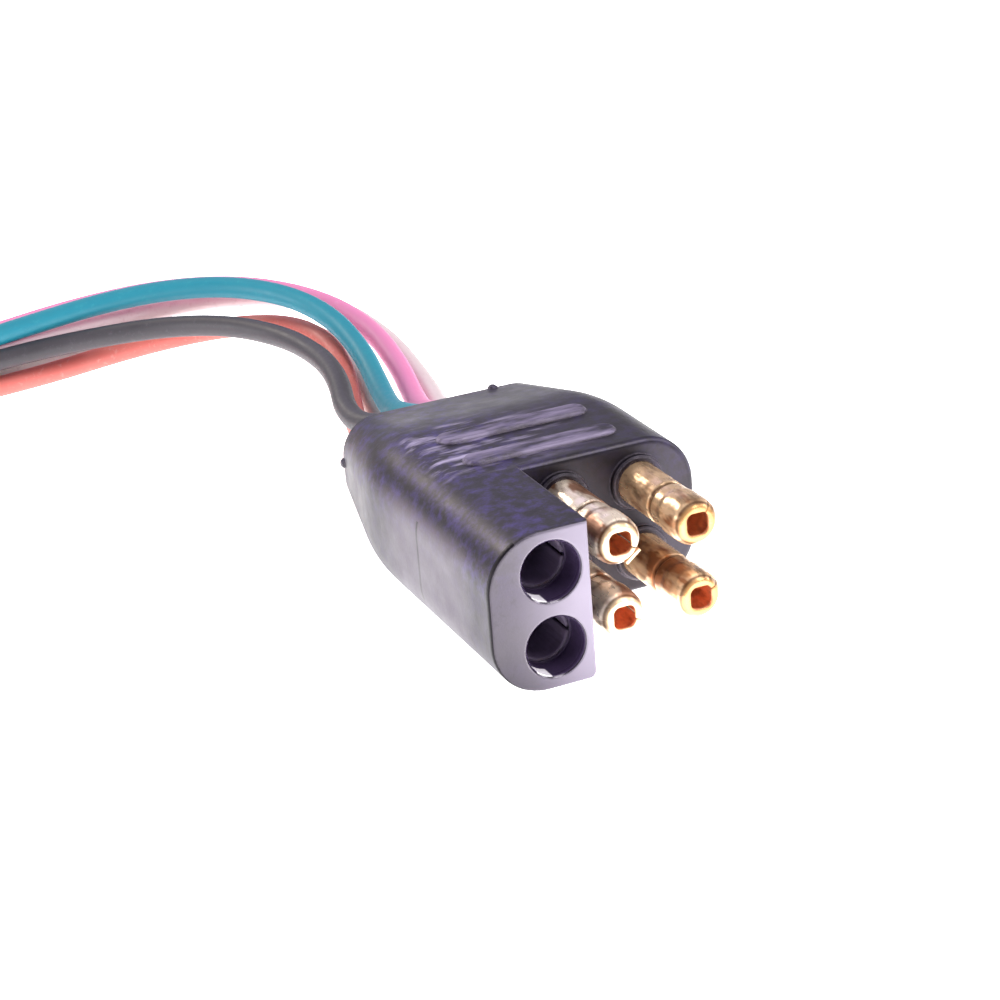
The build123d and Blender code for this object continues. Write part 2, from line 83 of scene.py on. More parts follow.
def feed(tree, node, inputs):
    """Gives each input its constant, its sRGB hex colour, or the socket or node that feeds it.
    A node feeds from the first output that its settings leave in use."""
    for name, value in inputs.items():
        if isinstance(value, bpy.types.Node):
            value = next(socket for socket in value.outputs if socket.enabled)
        if isinstance(value, bpy.types.NodeSocket):
            tree.links.new(value, node.inputs[name])
        else:
            node.inputs[name].default_value = hue(value) if isinstance(value, str) else value


def add(tree, kind, inputs=None, **settings):
    """A node with its settings, and with its inputs fed."""
    node = tree.nodes.new(kind)
    for name, value in settings.items():
        setattr(node, name, value)
    feed(tree, node, inputs or {})
    return node


def blank_material(name):
    """(material, its node tree, its Principled shader, its Object coordinates)"""
    material = bpy.data.materials.new(name)
    material.use_nodes = True
    tree = material.node_tree
    shader = tree.nodes["Principled BSDF"]
    return material, tree, shader, add(tree, "ShaderNodeTexCoord").outputs["Object"]


def layered(tree, ground, layers):
    """The colour of ground with each layer's shade laid over it in turn, by the layer's share."""
    for share, shade in layers:
        ground = add(tree, "ShaderNodeMix", {0: share, 6: ground, 7: shade}, data_type="RGBA")
    return ground


def all_of(tree, *shares):
    """The share that is left where all of these hold together: their product."""
    whole, *others = shares
    for share in others:
        whole = add(tree, "ShaderNodeMath", {0: whole, 1: share}, operation="MULTIPLY")
    return whole


def fades(tree, axes, limits):
    """Soft fades across the part, one for each (axis, where it is least, where it is whole, least share)."""
    return [add(tree, "ShaderNodeMapRange",
                {"Value": axes.outputs[axis], "From Min": start, "From Max": end, "To Min": least},
                interpolation_type="SMOOTHSTEP")
            for axis, start, end, least in limits]


# ---------------------------------------------------------------- where the contacts are

COLUMN_PITCH = 10.2 * MM       # from the sockets to the middle bullets, and on to the outer ones
ROW_PITCH = 9.5 * MM
LOWER_ROW_Z = 5.25 * MM
BETWEEN_ROWS_Z = 10 * MM


def off_axis(tree, place):
    """The vector to a point from the axis of the nearest contact, all six of which run along Y."""
    axes = add(tree, "ShaderNodeSeparateXYZ", {0: place})
    column = axes.outputs["X"]
    for step, size in (("ADD", COLUMN_PITCH / 2), ("SNAP", COLUMN_PITCH),
                       ("MINIMUM", COLUMN_PITCH), ("MAXIMUM", -COLUMN_PITCH)):
        column = add(tree, "ShaderNodeMath", {0: column, 1: size}, operation=step)
    aside = add(tree, "ShaderNodeMath", {0: axes.outputs["X"], 1: column}, operation="SUBTRACT")
    level = add(tree, "ShaderNodeMath", {0: axes.outputs["Z"], 1: LOWER_ROW_Z}, operation="SUBTRACT")
    above = add(tree, "ShaderNodeMath", {0: level, 1: ROW_PITCH / 2, 2: -ROW_PITCH / 2}, operation="WRAP")
    return add(tree, "ShaderNodeCombineXYZ", {"X": aside, "Z": above})


# ---------------------------------------------------------------- the moulded body

NOSE_Y = -27.9 * MM            # 0.1 mm behind the nose's face, so that the face lies before it
STEP_Y = -9.0 * MM
MOUTH_RADIUS = 3.7 * MM
MOUTH_FLOOR_Y = -24.0 * MM
LIP_Y = -27.2 * MM             # the polished lip of a mouth ends here
LIP_WIDTH = 0.35 * MM
EDGE_RADIUS = 0.35 * MM

# Where the body's tones and its painted light and shade lie: the limits that fades() takes.
VIOLET_SHEEN_LIMITS = (("Z", 11 * MM, 16 * MM, 0.2), ("X", 3 * MM, -9 * MM, 0.3),
                 ("Y", -27.9 * MM, -27.6 * MM, 0.15))
FLOW_LIMITS = (("Z", 19.0 * MM, 19.9 * MM, 0), ("X", 10 * MM, -6 * MM, 0),
               ("Y", -10 * MM, -2 * MM, 0), ("Y", 16 * MM, 5 * MM, 0))
LEFT_LIGHT_LIMITS = (("X", -16.9 * MM, -18.0 * MM, 0), ("Y", -25 * MM, -16 * MM, 0), ("Y", 8 * MM, -2 * MM, 0))
NOSE_LIGHT_LIMITS = (("X", -17.0 * MM, -5.0 * MM, 0),)
STEP_SHADE_LIMITS = (("X", 16 * MM, 8 * MM, 0.125),)

RIB_Z = 20.1 * MM              # only the two ribs are higher
WITNESS_Y = -6.5 * MM
WITNESS_X = -17.9 * MM         # the flat of the left side lies beyond it
# Painted shade lies on a band of the step face, towards the bullets.
STEP_SHADE_BAND = 0.45 * MM, 0.55 * MM       # how far before the step its middle is, and its half width
STEP_SHADE_FROM_X = -5.0 * MM
# Painted shade lies in a thin band along the outer edge of the nose.
EDGE_SHADE_BAND = 0.25 * MM, 0.3 * MM       # how far behind the nose its middle is, and its half width
EDGE_SHADE_TO_X = -14.5 * MM
# A painted glint lies low in each mouth, just inside its lip.
GLINT_END_Y = -25.6 * MM
GLINT_TOWARDS = (-0.47, 0.0, -0.88)   # from a mouth's axis, down and to the left


def top_tones(tree, place, axes):
    """The shares of the violet mottle, a painted sheen kept to the top, its dark pits, the flow lines,
    painted pale as their sheen, and the ribs' painted highlight.
    """
    mottle = add(tree, "ShaderNodeTexNoise",
                 {"Vector": place, "Scale": per(1.7), "Detail": 5.0, "Roughness": 0.7})
    violet_sheen = add(tree, "ShaderNodeMapRange",
                  {"Value": mottle, "From Min": 0.46, "From Max": 0.68, "To Max": 0.9})
    pitted = add(tree, "ShaderNodeMapRange",
                 {"Value": mottle, "From Min": 0.47, "From Max": 0.36, "To Max": 0.8})
    # Flow lines of the melt run from side to side round the ribs; their sheen is painted as pale streaks on
    # the top.
    drawn_out = add(tree, "ShaderNodeMapping", {"Vector": place, "Scale": (0.22, 1, 1)})
    lines = add(tree, "ShaderNodeTexNoise",
                {"Vector": drawn_out, "Scale": per(1.5), "Detail": 3.0, "Roughness": 0.6})
    flowed = add(tree, "ShaderNodeMapRange", {"Value": lines, "From Min": 0.5, "From Max": 0.7})
    # The ribs stand proud, and their tops get a painted highlight, paler than the top round them.
    proud = add(tree, "ShaderNodeMath", {0: axes.outputs["Z"], 1: RIB_Z}, operation="GREATER_THAN")
    streaks = add(tree, "ShaderNodeMapRange",
                  {"Value": lines, "From Min": 0.34, "From Max": 0.6, "To Max": 0.95})
    return (all_of(tree, violet_sheen, *fades(tree, axes, VIOLET_SHEEN_LIMITS)), pitted,
            all_of(tree, flowed, *fades(tree, axes, FLOW_LIMITS)), all_of(tree, proud, streaks))


def side_tones(tree, axes):
    """The shares of the painted light on the middle of the left side and of the tool's faint witness line
    across it.
    """
    left_side_light = all_of(tree, 0.58, *fades(tree, axes, LEFT_LIGHT_LIMITS))
    away = add(tree, "ShaderNodeMath", {0: axes.outputs["Y"], 1: WITNESS_Y}, operation="SUBTRACT")
    away = add(tree, "ShaderNodeMath", {0: away}, operation="ABSOLUTE")
    line = add(tree, "ShaderNodeMapRange", {"Value": away, "From Min": 0.35 * MM, "From Max": 0.15 * MM})
    beside = add(tree, "ShaderNodeMath", {0: axes.outputs["X"], 1: WITNESS_X}, operation="LESS_THAN")
    return left_side_light, all_of(tree, line, beside)


def front_tones(tree, axes):
    """The shares of the painted light on the nose, paler towards the bullets, of the painted shade on
    the step face beside the bullets, and of the painted shade along the nose's outer edge."""
    on_nose = add(tree, "ShaderNodeMath", {0: axes.outputs["Y"], 1: NOSE_Y}, operation="LESS_THAN")
    before, half = STEP_SHADE_BAND
    at_step = add(tree, "ShaderNodeMath", {0: axes.outputs["Y"], 1: STEP_Y - before, 2: half},
                  operation="COMPARE")
    inwards = add(tree, "ShaderNodeMath", {0: axes.outputs["X"], 1: STEP_SHADE_FROM_X},
                  operation="GREATER_THAN")
    behind, half = EDGE_SHADE_BAND
    at_nose = add(tree, "ShaderNodeMath", {0: axes.outputs["Y"], 1: NOSE_Y + behind, 2: half},
                  operation="COMPARE")
    outwards = add(tree, "ShaderNodeMath", {0: axes.outputs["X"], 1: EDGE_SHADE_TO_X}, operation="LESS_THAN")
    return (all_of(tree, 0.9, on_nose, *fades(tree, axes, NOSE_LIGHT_LIMITS)),
            all_of(tree, 0.8, at_step, inwards, *fades(tree, axes, STEP_SHADE_LIMITS)),
            all_of(tree, outwards, at_nose))


def mouth_tones(tree, place, axes):
    """The shares of the mouths' matt walls, painted a flat dim violet as painted shade, of the
    painted glint at the foot of each mouth, just inside its lip, and of the polished lip."""
    off = off_axis(tree, place)
    radius = add(tree, "ShaderNodeVectorMath", {0: off}, operation="LENGTH")
    before_floor = add(tree, "ShaderNodeMapRange",
                       {"Value": axes.outputs["Y"], "From Min": MOUTH_FLOOR_Y + 0.2 * MM,
                        "From Max": MOUTH_FLOOR_Y + 0.1 * MM})
    in_core = add(tree, "ShaderNodeMapRange",
                  {"Value": radius, "From Min": MOUTH_RADIUS + 0.12 * MM,
                   "From Max": MOUTH_RADIUS + 0.04 * MM})
    outwards = add(tree, "ShaderNodeVectorMath", {0: off}, operation="NORMALIZE")
    at_foot = add(tree, "ShaderNodeVectorMath", {0: outwards, 1: GLINT_TOWARDS}, operation="DOT_PRODUCT")
    painted_glint = add(tree, "ShaderNodeMapRange", {"Value": at_foot, "From Min": 0.95, "From Max": 0.965})
    shallow = add(tree, "ShaderNodeMath", {0: axes.outputs["Y"], 1: GLINT_END_Y}, operation="LESS_THAN")
    at_lip = add(tree, "ShaderNodeMath", {0: radius, 1: MOUTH_RADIUS + LIP_WIDTH}, operation="LESS_THAN")
    in_front = add(tree, "ShaderNodeMath", {0: axes.outputs["Y"], 1: LIP_Y}, operation="LESS_THAN")
    return (all_of(tree, before_floor, in_core), all_of(tree, painted_glint, shallow),
            all_of(tree, at_lip, in_front))


def edge_tone(tree, place, rounded):
    """The share of the rubbed edges: along an edge the rounded normal leaves the true one."""
    facing = add(tree, "ShaderNodeNewGeometry")
    along = add(tree, "ShaderNodeVectorMath",
                {0: rounded, 1: facing.outputs["Normal"]}, operation="DOT_PRODUCT")
    edge = add(tree, "ShaderNodeMapRange", {"Value": along, "From Min": 0.995, "From Max": 0.9})
    speckle = add(tree, "ShaderNodeTexNoise", {"Vector": place, "Scale": per(0.7), "Detail": 3.0})
    return all_of(tree, edge, speckle)


def moulded_pvc():
    """Flexible black PVC, injection moulded in a spark-eroded tool. It has a satin skin with a fine grain
    and a faintly violet shine, partly painted as a violet sheen on the top, a grey bloom where plasticiser
    and dust sit, and paler scuffs along its edges. Light and shade are also painted on the left side, the
    nose, the ribs, the step face, the nose's outer edge and in the mouths."""
    material, tree, shader, place = blank_material("black_moulded_pvc")
    axes = add(tree, "ShaderNodeSeparateXYZ", {0: place})
    rounded = add(tree, "ShaderNodeBevel", {"Radius": EDGE_RADIUS}, samples=4)
    bloom = add(tree, "ShaderNodeTexNoise",
                {"Vector": place, "Scale": per(5.0), "Detail": 5.0, "Roughness": 0.65})
    bloomed = add(tree, "ShaderNodeMapRange", {"Value": bloom, "From Min": 0.42, "From Max": 0.68})
    violet_sheen, pitted, flowed, ribs = top_tones(tree, place, axes)
    left_side_light, witness = side_tones(tree, axes)
    nose, step, nose_edge_shade = front_tones(tree, axes)
    mouth, painted_glint, lip = mouth_tones(tree, place, axes)
    edges = edge_tone(tree, place, rounded)
    # Painted light and shade among these layers: the violet sheen and pale flow streaks on the top, the
    # light on the left side and the nose, the ribs' highlight, the shade on the step face and along the
    # nose's edge, the dim violet mouths and the white glint in them.
    skin = layered(tree, "#0f0c12", (
        (bloomed, "#221d29"), (violet_sheen, "#3b306a"), (pitted, "#060508"), (flowed, "#a79cbc"),
        (left_side_light, "#5b535f"), (witness, "#0c0a0d"), (nose, "#6d6675"), (ribs, "#7d728f"),
        (step, "#0c080a"), (edges, "#756d78"), (nose_edge_shade, "#08070a"),
        (mouth, layered(tree, "#382c46", ((painted_glint, "#f8f2f8"),)))))
    matt = mouth
    for share in (step, nose_edge_shade):
        matt = add(tree, "ShaderNodeMath", {0: matt, 1: share}, operation="MAXIMUM")
    shine = add(tree, "ShaderNodeMapRange", {"Value": matt, "To Min": 0.5, "To Max": 0.2})
    satin = add(tree, "ShaderNodeMapRange",
                {"Value": bloom, "From Min": 0.3, "From Max": 0.7, "To Min": 0.36, "To Max": 0.5})
    roughness = add(tree, "ShaderNodeMix", {0: lip, 2: satin, 3: 0.16})
    # The spark-eroded grain is 0.1 mm or less; it is drawn at 0.35 mm so that it shows.
    grain = add(tree, "ShaderNodeTexNoise",
                {"Vector": place, "Scale": per(0.35), "Detail": 2.0, "Roughness": 0.5})
    ripple = add(tree, "ShaderNodeTexNoise", {"Vector": place, "Scale": per(3.0), "Detail": 2.0})
    height = add(tree, "ShaderNodeMath", {0: ripple, 1: 2.2, 2: grain}, operation="MULTIPLY_ADD")
    bump = add(tree, "ShaderNodeBump",
               {"Height": height, "Strength": 0.35, "Distance": 0.04 * MM, "Normal": rounded})
    feed(tree, shader, {"Base Color": skin, "Roughness": roughness, "Specular IOR Level": shine,
                        "Specular Tint": "#f9eefd", "IOR": 1.53, "Normal": bump})
    return material


# ---------------------------------------------------------------- the contacts and the conductors

GROOVE_SHADE_RADIUS = 2.74 * MM         # the barrel is wider, the groove behind the head is not
RIM_Y = -25.2 * MM


def rolled_brass(name, strip, stain, rim, bore, scorch, stained_share=0.85, dulled=0.0):
    """Cartridge brass strip, stamped and rolled to a tube. It has fine drawing lines along the tube,
    brown tarnish in patches and a redder, duller bore. strip and rim give a shade for the middle
    bullets and a darker one, painted shade, for the outer ones, and bore one for the upper row and a
    brighter one, painted light, for the lower. The rim's own clean shade is a painted highlight."""
    material, tree, shader, place = blank_material(name)
    axes = add(tree, "ShaderNodeSeparateXYZ", {0: place})
    outer = add(tree, "ShaderNodeMath", {0: axes.outputs["X"], 1: COLUMN_PITCH / 2},
                operation="GREATER_THAN")
    lower = add(tree, "ShaderNodeMath", {0: axes.outputs["Z"], 1: BETWEEN_ROWS_Z}, operation="LESS_THAN")
    drawn_out = add(tree, "ShaderNodeMapping", {"Vector": place, "Scale": (1, 0.35, 1)})
    tarnish = add(tree, "ShaderNodeTexNoise",
                  {"Vector": drawn_out, "Scale": per(2.6), "Detail": 3.0, "Roughness": 0.5})
    stained = add(tree, "ShaderNodeMapRange",
                  {"Value": tarnish, "From Min": 0.49, "From Max": 0.6, "To Max": stained_share})
    spots = add(tree, "ShaderNodeTexNoise",
                {"Vector": drawn_out, "Scale": per(1.5), "Detail": 3.0, "Roughness": 0.6})
    spotted = add(tree, "ShaderNodeMapRange",
                  {"Value": spots, "From Min": 0.54, "From Max": 0.7, "To Max": 0.65})
    # The groove behind the head is darkened as painted shade, and the turned-in rim gets a clean, paler
    # shade as a painted highlight.
    off = off_axis(tree, place)
    radius = add(tree, "ShaderNodeVectorMath", {0: off}, operation="LENGTH")
    groove_shade = add(tree, "ShaderNodeMapRange",
               {"Value": radius, "From Min": GROOVE_SHADE_RADIUS,
                "From Max": GROOVE_SHADE_RADIUS - 0.12 * MM, "To Max": 0.8})
    at_rim = add(tree, "ShaderNodeMapRange",
                 {"Value": axes.outputs["Y"], "From Min": RIM_Y + 0.4 * MM, "From Max": RIM_Y + 0.15 * MM})
    # The outer bullets take the darker shades of strip and rim: painted shade.
    outside = layered(tree, layered(tree, strip[0], ((outer, strip[1]),)), (
        (stained, stain), (spotted, "#4a2a14"), (groove_shade, "#553418"),
        (at_rim, layered(tree, rim[0], ((outer, rim[1]),)))))
    # The bore's faces are the ones that look back at the axis.
    outwards = add(tree, "ShaderNodeVectorMath", {0: off}, operation="NORMALIZE")
    facing = add(tree, "ShaderNodeNewGeometry")
    turned = add(tree, "ShaderNodeVectorMath",
                 {0: outwards, 1: facing.outputs["True Normal"]}, operation="DOT_PRODUCT")
    inside = add(tree, "ShaderNodeMapRange", {"Value": turned, "From Min": -0.3, "From Max": -0.5})
    scorched = add(tree, "ShaderNodeMapRange",
                   {"Value": spots, "From Min": 0.46, "From Max": 0.66, "To Max": 0.6})
    # The lower row's bores take the brighter shade: painted light.
    bored = layered(tree, bore[0], ((lower, bore[1]), (scorched, scorch)))
    gloss = add(tree, "ShaderNodeMapRange",
                {"Value": tarnish, "From Min": 0.3, "From Max": 0.75,
                 "To Min": 0.22 + dulled, "To Max": 0.4 + dulled})
    duller = add(tree, "ShaderNodeMath", {0: inside, 1: 0.35, 2: gloss}, operation="MULTIPLY_ADD")
    # A thin dull film lies over the metal, and red oxide hides most of it in the bore.
    metal = add(tree, "ShaderNodeMapRange", {"Value": inside, "To Min": 0.62 - dulled, "To Max": 0.1})
    # The drawing lines are much finer; they are drawn at 0.5 mm so that they show.
    drawn = add(tree, "ShaderNodeMapping", {"Vector": place, "Scale": (1, 0.04, 1)})
    lines = add(tree, "ShaderNodeTexNoise", {"Vector": drawn, "Scale": per(0.5), "Detail": 1.0})
    # Rolling leaves shallow flats and dents in the barrel.
    dents = add(tree, "ShaderNodeTexNoise", {"Vector": place, "Scale": per(4.2), "Detail": 1.0})
    height = add(tree, "ShaderNodeMath", {0: lines, 1: 0.04, 2: dents}, operation="MULTIPLY_ADD")
    rounded = add(tree, "ShaderNodeBevel", {"Radius": 0.5 * MM}, samples=6)
    bump = add(tree, "ShaderNodeBump",
               {"Height": height, "Strength": 0.8, "Distance": 1.0 * MM, "Normal": rounded})
    feed(tree, shader, {"Base Color": layered(tree, outside, ((inside, bored),)),
                        "Roughness": duller, "Metallic": metal, "Normal": bump})
    return material


def drawn_copper():
    """Bare annealed copper wire, drawn and bunched. It is salmon where fresh and browner in the lay."""
    material, tree, shader, place = blank_material("drawn_copper_strand")
    oxide = add(tree, "ShaderNodeTexNoise", {"Vector": place, "Scale": per(1.2), "Detail": 3.0})
    dull = add(tree, "ShaderNodeMapRange", {"Value": oxide, "To Min": 0.22, "To Max": 0.45})
    feed(tree, shader, {"Base Color": layered(tree, "#e09a72", ((oxide, "#a85c38"),)),
                        "Metallic": 1.0, "Roughness": dull})
    return material


# ---------------------------------------------------------------- the leads' insulation and the tie

PLASTIC_IOR = 1.53


def insulation(name, fresh, worn):
    """Soft PVC wire insulation, extruded over the strands. It has a silky skin with a slow change of
    shade along it, and small scuffs."""
    material, tree, shader, place = blank_material(name)
    shade = add(tree, "ShaderNodeTexNoise",
                {"Vector": place, "Scale": per(9.0), "Detail": 4.0, "Roughness": 0.55})
    scuff = add(tree, "ShaderNodeTexNoise",
                {"Vector": place, "Scale": per(0.9), "Detail": 4.0, "Roughness": 0.7})
    scuffed = add(tree, "ShaderNodeMapRange",
                  {"Value": scuff, "From Min": 0.56, "From Max": 0.74, "To Max": 0.45})
    share = add(tree, "ShaderNodeMath", {0: shade, 1: 0.5, 2: scuffed},
                operation="MULTIPLY_ADD", use_clamp=True)
    gloss = add(tree, "ShaderNodeMapRange",
                {"Value": scuff, "From Min": 0.3, "From Max": 0.75, "To Min": 0.42, "To Max": 0.6})
    bump = add(tree, "ShaderNodeBump", {"Height": scuff, "Strength": 0.2, "Distance": 0.03 * MM})
    feed(tree, shader, {"Base Color": layered(tree, fresh, ((share, worn),)),
                        "Roughness": gloss, "IOR": PLASTIC_IOR, "Normal": bump})
    return material


def natural_nylon():
    """Nylon 66 cable tie, injection moulded and undyed. It is milky and lets a little light through."""
    material, tree, shader, place = blank_material("natural_nylon_66")
    cloud = add(tree, "ShaderNodeTexNoise", {"Vector": place, "Scale": per(2.5), "Detail": 3.0})
    gloss = add(tree, "ShaderNodeMapRange", {"Value": cloud, "To Min": 0.28, "To Max": 0.42})
    bump = add(tree, "ShaderNodeBump", {"Height": cloud, "Strength": 0.15, "Distance": 0.03 * MM})
    feed(tree, shader, {"Base Color": layered(tree, "#cdc7b0", ((cloud, "#b9b195"),)),
                        "Roughness": gloss, "IOR": PLASTIC_IOR, "Normal": bump,
                        "Subsurface Weight": 0.25, "Subsurface Scale": 1.0,
                        "Subsurface Radius": (1.0 * MM, 0.9 * MM, 0.7 * MM)})
    return material


PVC = moulded_pvc()
# The bullets are bright and stained in patches; the sleeves in the mouths get a dark violet-brown copy of
# the brass all over, painted shade for the dark inside the mouths.
BRASS = rolled_brass("rolled_brass_strip", strip=("#fdead6", "#e2bd96"), stain="#84451c",
                     rim=("#e2c29c", "#b98a58"), bore=("#e6a277", "#ffb48a"), scorch="#6a3014")
SHADED_SLEEVE_BRASS = rolled_brass("shade_painted_brass_sleeve", strip=("#554a5e", "#554a5e"), stain="#554a5e",
                            rim=("#554a5e", "#554a5e"), bore=("#685b74", "#685b74"), scorch="#685b74",
                            stained_share=0.9, dulled=0.4)
COPPER = drawn_copper()
NYLON = natural_nylon()


# ---------------------------------------------------------------- the six leads

LEAD_DIAMETER = 3.2 * MM

# The routes and the coil are in mm, and are turned to metres where a point is made.
LEAD_START_Y = 25.0          # 3 mm inside the body's rear face
EXIT_X = {"left": -5.4, "middle": 0.0, "right": 5.4}
EXIT_Z = {"upper": 12.6, "lower": 7.4}

COIL_X, COIL_Y = -80.0, 87.2
COIL_START_RADIUS = 24.0
SPIRAL_STEP = 6.4
COIL_TURNS = (1 + 1 / 6, 1 + 7 / 12)    # of the outer and the inner track
COIL_POINTS_PER_TURN = 24
LAYER_Z = (2.6, 5.8, 9.0)
TRACK_PITCH = 3.2
COIL_ENTRY_X = -57.0

# Each lead: colour, its fresh and worn shades, its track and layer in the coil, and its way there.
LEADS = {
    ("upper", "left"): ("black", "#302d33", "#545057", 1, 1, [
        (-5.4, 32, 12.6), (-8, 39, 10.9), (-7.7, 45.5, 11.3), (-5.9, 51.5, 12.1), (-4.7, 58, 12.6),
        (-4.2, 66, 12.6), (-5.4, 76, 12.6), (-10.5, 86, 12.7), (-18.5, 95, 11.6), (-30, 102, 9.7),
        (-41, 105.8, 8.1)]),
    ("lower", "left"): ("red", "#cf584f", "#dc9a90", 1, 0, [
        (-5.4, 32, 7.4), (-6, 39, 6.6), (-5.2, 47, 6), (-3, 56, 6.7), (0.2, 66, 8.6),
        (1.5, 77, 10.3), (-1, 87, 10.6), (-8, 96, 9.2), (-20, 103, 6.7), (-37, 106.8, 3.5)]),
    ("upper", "middle"): ("teal", "#037c94", "#2c93a2", 1, 2, [
        (0, 32, 12.6), (-0.9, 39, 10.8), (-0.4, 47, 9), (1.4, 56, 9.4), (3, 66, 11.4),
        (2.5, 77, 14), (-1.5, 87, 15.7), (-9.5, 96, 16.2), (-22, 102.8, 15), (-39, 107, 11.8)]),
    ("lower", "middle"): ("offwhite", "#d8ccc8", "#b9a8a6", 0, 0, [
        (0, 32, 7.4), (-0.7, 39, 6.6), (-0.5, 47, 5.5), (0.6, 56, 5.1), (2.6, 66, 6),
        (4.2, 77, 7.6), (2.9, 88, 8.3), (-3, 98, 7.8), (-14, 106, 6.3), (-29, 110, 4.4),
        (-43, 111.2, 3)]),
    ("upper", "right"): ("pink", "#e27fb0", "#e295bd", 0, 2, [
        (5.4, 32, 12.6), (4.4, 39, 10.3), (4.7, 47, 7.4), (6.6, 56, 6.3), (9, 67, 7.4),
        (9.5, 79, 9.9), (5.8, 91, 12.2), (-3, 101.5, 13.5), (-15, 108, 13.4), (-29, 111, 12),
        (-43, 111.8, 10)]),
    ("lower", "right"): ("white", "#ddd0d2", "#c4a9ac", 0, 1, [
        (5.4, 32, 7.4), (5.9, 39, 6.6), (8, 47, 5.3), (10.2, 56, 4.7), (11.9, 67, 5.2),
        (12.4, 79, 7.2), (9.5, 92, 9.6), (2, 102.5, 10.6), (-10, 109, 10.2), (-26, 111.8, 8.4),
        (-42, 111.8, 6.6)]),
}


def exit_place(row, column, y):
    """A point of the straight run that a lead leaves the body on."""
    return Vector((EXIT_X[column], y, EXIT_Z[row])) * MM


def track_radius(track, turn):
    """The spiral's radius on that track, after that many turns."""
    return COIL_START_RADIUS - TRACK_PITCH * track - SPIRAL_STEP * turn


def coil_place(track, layer, turn):
    """A point of the flat spiral that the leads are wound in, after that many turns."""
    radius = track_radius(track, turn)
    angle = math.pi / 2 + 2 * math.pi * turn
    return Vector((COIL_X + radius * math.cos(angle), COIL_Y + radius * math.sin(angle),
                   LAYER_Z[layer])) * MM


def smooth_line(name, places, radius=0.0):
    """A curve of one open NURBS spline, with these points as its control points."""
    data = bpy.data.curves.new(name, "CURVE")
    data.dimensions = "3D"
    data.resolution_u = 6
    spline = data.splines.new("NURBS")
    spline.points.add(len(places) - 1)
    for point, place in zip(spline.points, places):
        point.co = (*place, 1)
    spline.order_u = 3
    spline.use_endpoint_u = True
    data.bevel_depth = radius
    data.bevel_resolution = 7
    data.use_fill_caps = True
    line = bpy.data.objects.new(name, data)
    scene.collection.objects.link(line)
    return line


STRAND = 0.4 * MM
RINGS = ((6, 1), (12, 2))    # strands round the middle one, and their ring's radius in strand diameters
STRAND_SIDES = 10
LAY_LENGTH = 22 * MM
BARE_LENGTH = 7 * MM
BARE_STEPS = 4


def strand_tree():
    """Geometry Nodes: sweeps a bunch of round strands along a line, twisted by its lay."""
    tree = bpy.data.node_groups.new("bunched_strands", "GeometryNodeTree")
    for name, kind, way in (("Line", "NodeSocketGeometry", "INPUT"),
                            ("Strand Diameter", "NodeSocketFloat", "INPUT"),
                            ("Lay Length", "NodeSocketFloat", "INPUT"),
                            ("Metal", "NodeSocketMaterial", "INPUT"),
                            ("Strands", "NodeSocketGeometry", "OUTPUT")):
        tree.interface.new_socket(name, in_out=way, socket_type=kind)
    given = add(tree, "NodeGroupInput").outputs
    radius = add(tree, "ShaderNodeMath", {0: given["Strand Diameter"], 1: 0.5}, operation="MULTIPLY")
    strand = add(tree, "GeometryNodeCurvePrimitiveCircle", {"Resolution": STRAND_SIDES, "Radius": radius})
    profiles = [strand]
    for count, diameters in RINGS:
        away = add(tree, "ShaderNodeMath", {0: given["Strand Diameter"], 1: diameters},
                   operation="MULTIPLY")
        ring = add(tree, "GeometryNodeCurvePrimitiveCircle", {"Resolution": count, "Radius": away})
        profiles.append(add(tree, "GeometryNodeInstanceOnPoints", {"Points": ring, "Instance": strand}))
    bunch = add(tree, "GeometryNodeJoinGeometry")
    for profile in profiles:
        feed(tree, bunch, {"Geometry": profile})
    bunch = add(tree, "GeometryNodeRealizeInstances", {"Geometry": bunch})
    along = add(tree, "GeometryNodeSplineParameter").outputs["Length"]
    turns = add(tree, "ShaderNodeMath", {0: along, 1: given["Lay Length"]}, operation="DIVIDE")
    twist = add(tree, "ShaderNodeMath", {0: turns, 1: 2 * math.pi}, operation="MULTIPLY")
    laid = add(tree, "GeometryNodeSetCurveTilt", {"Curve": given["Line"], "Tilt": twist})
    swept = add(tree, "GeometryNodeCurveToMesh",
                {"Curve": laid, "Profile Curve": bunch, "Fill Caps": True})
    whole = add(tree, "GeometryNodeRealizeInstances", {"Geometry": swept})
    made = add(tree, "GeometryNodeSetMaterial", {"Geometry": whole, "Material": given["Metal"]})
    add(tree, "NodeGroupOutput", {"Strands": made})
    return tree


def as_mesh(source, name):
    """A plain mesh object of what source's modifiers make of it; source is taken away."""
    held = source.evaluated_get(bpy.context.evaluated_depsgraph_get())
    mesh = bpy.data.meshes.new_from_object(held)
    made = bpy.data.objects.new(name, mesh)
    scene.collection.objects.link(made)
    bpy.data.objects.remove(source)
    return made


def stranded_end(name, places, tree):
    """The bare conductor that sticks out of a lead's stripped end."""
    line = smooth_line(name + "_line", places)
    modifier = line.modifiers.new("strands", "NODES")
    modifier.node_group = tree
    given = {"Strand Diameter": STRAND, "Lay Length": LAY_LENGTH, "Metal": COPPER}
    for item in tree.interface.items_tree:
        if item.in_out == "INPUT" and item.name in given:
            modifier[item.identifier] = given[item.name]
    return as_mesh(line, name)


